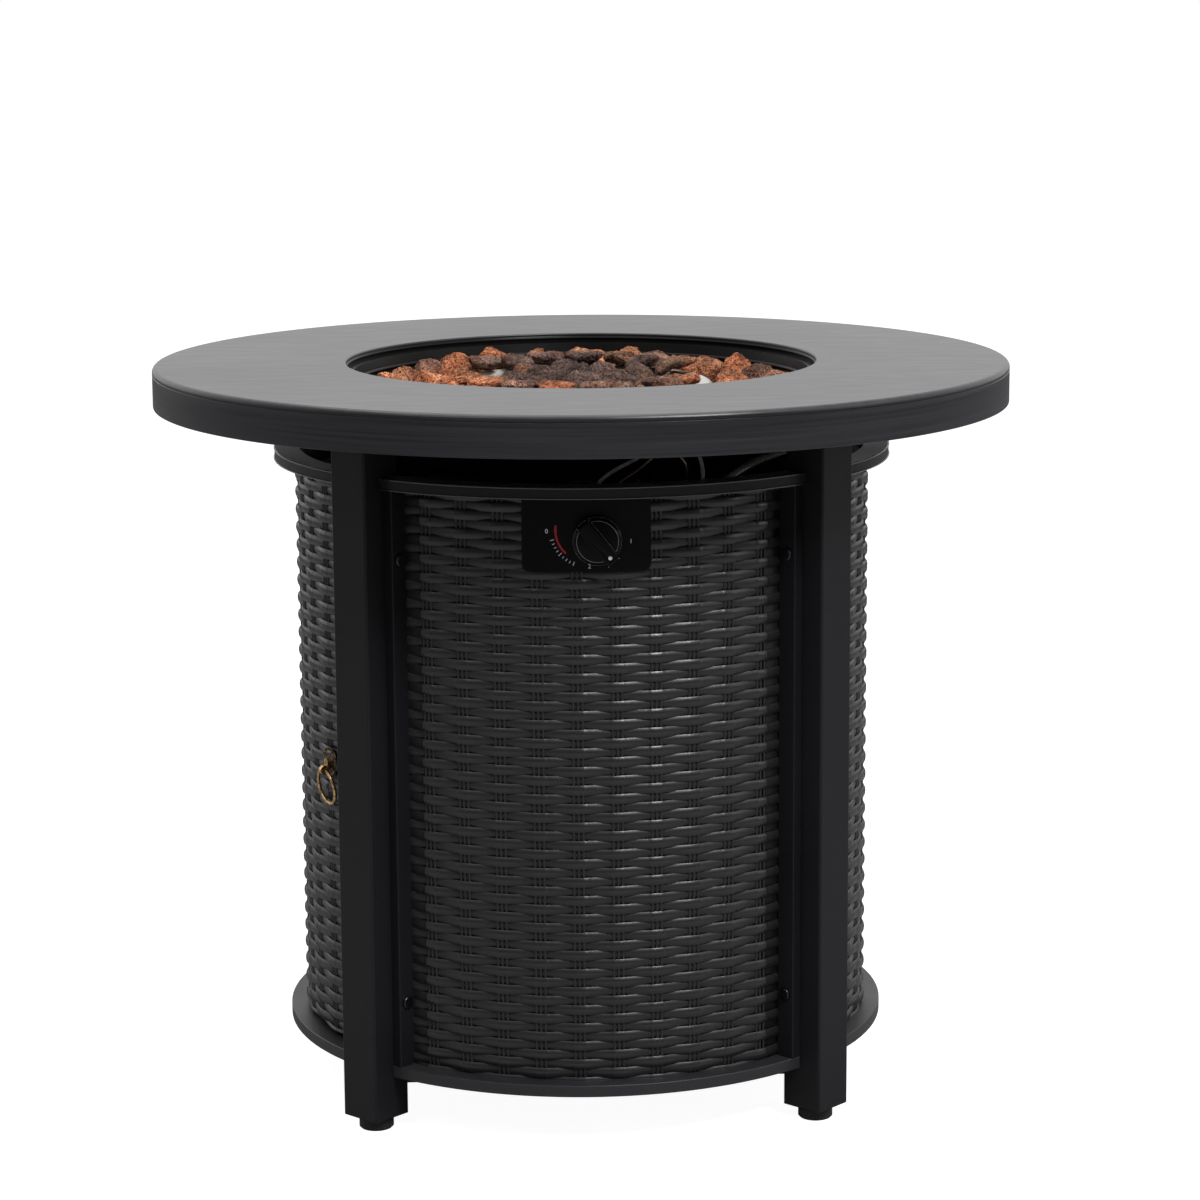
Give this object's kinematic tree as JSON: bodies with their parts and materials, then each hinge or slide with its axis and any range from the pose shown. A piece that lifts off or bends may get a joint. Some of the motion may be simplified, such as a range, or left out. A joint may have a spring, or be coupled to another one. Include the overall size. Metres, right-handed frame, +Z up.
{
  "type": "gas fire pit table",
  "caption": "Round gas fire pit table with a steel top, a burner bowl of lava rocks, embossed woven side panels, a side door with a ring pull, a gas control and levelling feet.",
  "frame": {"origin": "on the floor under the middle of the table", "axes": "+Z up, -Y towards the control knob, +X to the right as seen from the knob's side"},
  "size_m": [0.762, 0.762, 0.647],
  "materials": {
    "bowl": "matt black heat-proof paint",
    "brass": "machined brass",
    "burner": "stainless steel, brushed",
    "casting": "as cast",
    "ceramic": "white unglazed ceramic",
    "coat": "satin black powder coat",
    "copper": "drawn copper tube",
    "foot": "moulded black",
    "hose": "corrugated stainless steel",
    "knob": "gloss black",
    "lead_sleeve": "woven glass sleeve, pale grey",
    "magnet": "ferrite, dull",
    "plastic": "moulded black",
    "plate": "gloss black",
    "pull": "antique brass",
    "rock": "rough reddish brown volcanic stone",
    "rubber": "black silicone",
    "top": "brushed dark grey powder coat",
    "weave": "satin black powder coat over embossed weave",
    "zinc": "zinc plated"
  },
  "bodies": {
    "base": {"tabletop": "top", "tabletop_nuts": "zinc", "fire_bowl": "bowl", "bowl_clips": "zinc", "bowl_screws": "zinc", "burner_ring": "burner", "burner_crossbar": "burner", "burner_stands": "burner", "mixer_tube": "burner", "mixer_locknuts": "brass", "jet_elbow": "brass", "pilot_bracket": "burner", "spark_electrode": "ceramic", "electrode_tip": "burner", "thermocouple": "burner", "floor_grommets": "rubber", "lava_rocks_lower": "rock", "lava_rocks_upper": "rock", "leg_front_left": "coat", "leg_front_right": "coat", "leg_rear_right": "coat", "leg_rear_left": "coat", "leg_plugs": "plastic", "upper_rails": "coat", "base_disc": "coat", "lower_bars": "coat", "disc_screws": "zinc", "panel_front": "weave", "panel_right": "weave", "panel_rear": "weave", "side_posts": "coat", "post_screws": "zinc", "hinge_pins": "zinc", "hinge_spacers": "plastic", "catch_bracket": "coat", "catch_magnet": "magnet", "control_plate": "plate", "plate_nuts": "zinc", "valve_bracket": "zinc", "valve_screws": "zinc", "valve_body": "casting", "piezo_igniter": "plastic", "valve_fittings": "brass", "gas_hose": "hose", "thermocouple_lead": "copper", "ignition_lead": "lead_sleeve"},
    "door": {"door_panel": "weave", "door_hinge_stile": "coat", "door_latch_stile": "coat", "pull_backplate": "pull", "pull_eye": "pull", "pull_nut": "zinc"},
    "ring": {"pull_ring": "pull"},
    "rotor": {"valve_rotor": "brass"},
    "knob": {"control_knob": "knob", "valve_stem": "brass"},
    "foot_front_left": {"foot_front_left": "foot"},
    "foot_front_right": {"foot_front_right": "foot"},
    "foot_rear_right": {"foot_rear_right": "foot"},
    "foot_rear_left": {"foot_rear_left": "foot"}
  },
  "joints": [
    {"name": "door_swing", "type": "hinge", "parent": "base", "child": "door", "pos_m": [-0.20789, 0.15698, 0.31], "axis": [0, 0, -1], "range_deg": [0, 110]},
    {"name": "pull_ring_swing", "type": "hinge", "parent": "door", "child": "ring", "pos_m": [-0.2333, -0.12249, 0.303], "axis": [-0.4648, 0.8854, 0], "range_deg": [0, 150]},
    {"name": "knob_turn", "type": "hinge", "parent": "base", "child": "rotor", "pos_m": [0, -0.24, 0.527], "axis": [0, -1, 0], "range_deg": [-139, 51]},
    {"name": "knob_push", "type": "slide", "parent": "rotor", "child": "knob", "axis": [0, 1, 0], "range_m": [0, 0.003], "stiffness_N_per_m": 400, "springref_m": -0.002},
    {"name": "foot_front_left_travel", "type": "slide", "parent": "base", "child": "foot_front_left", "axis": [0, 0, -1], "range_m": [0, 0.012]},
    {"name": "foot_front_right_travel", "type": "slide", "parent": "base", "child": "foot_front_right", "axis": [0, 0, -1], "range_m": [0, 0.012]},
    {"name": "foot_rear_right_travel", "type": "slide", "parent": "base", "child": "foot_rear_right", "axis": [0, 0, -1], "range_m": [0, 0.012]},
    {"name": "foot_rear_left_travel", "type": "slide", "parent": "base", "child": "foot_rear_left", "axis": [0, 0, -1], "range_m": [0, 0.012]}
  ]
}
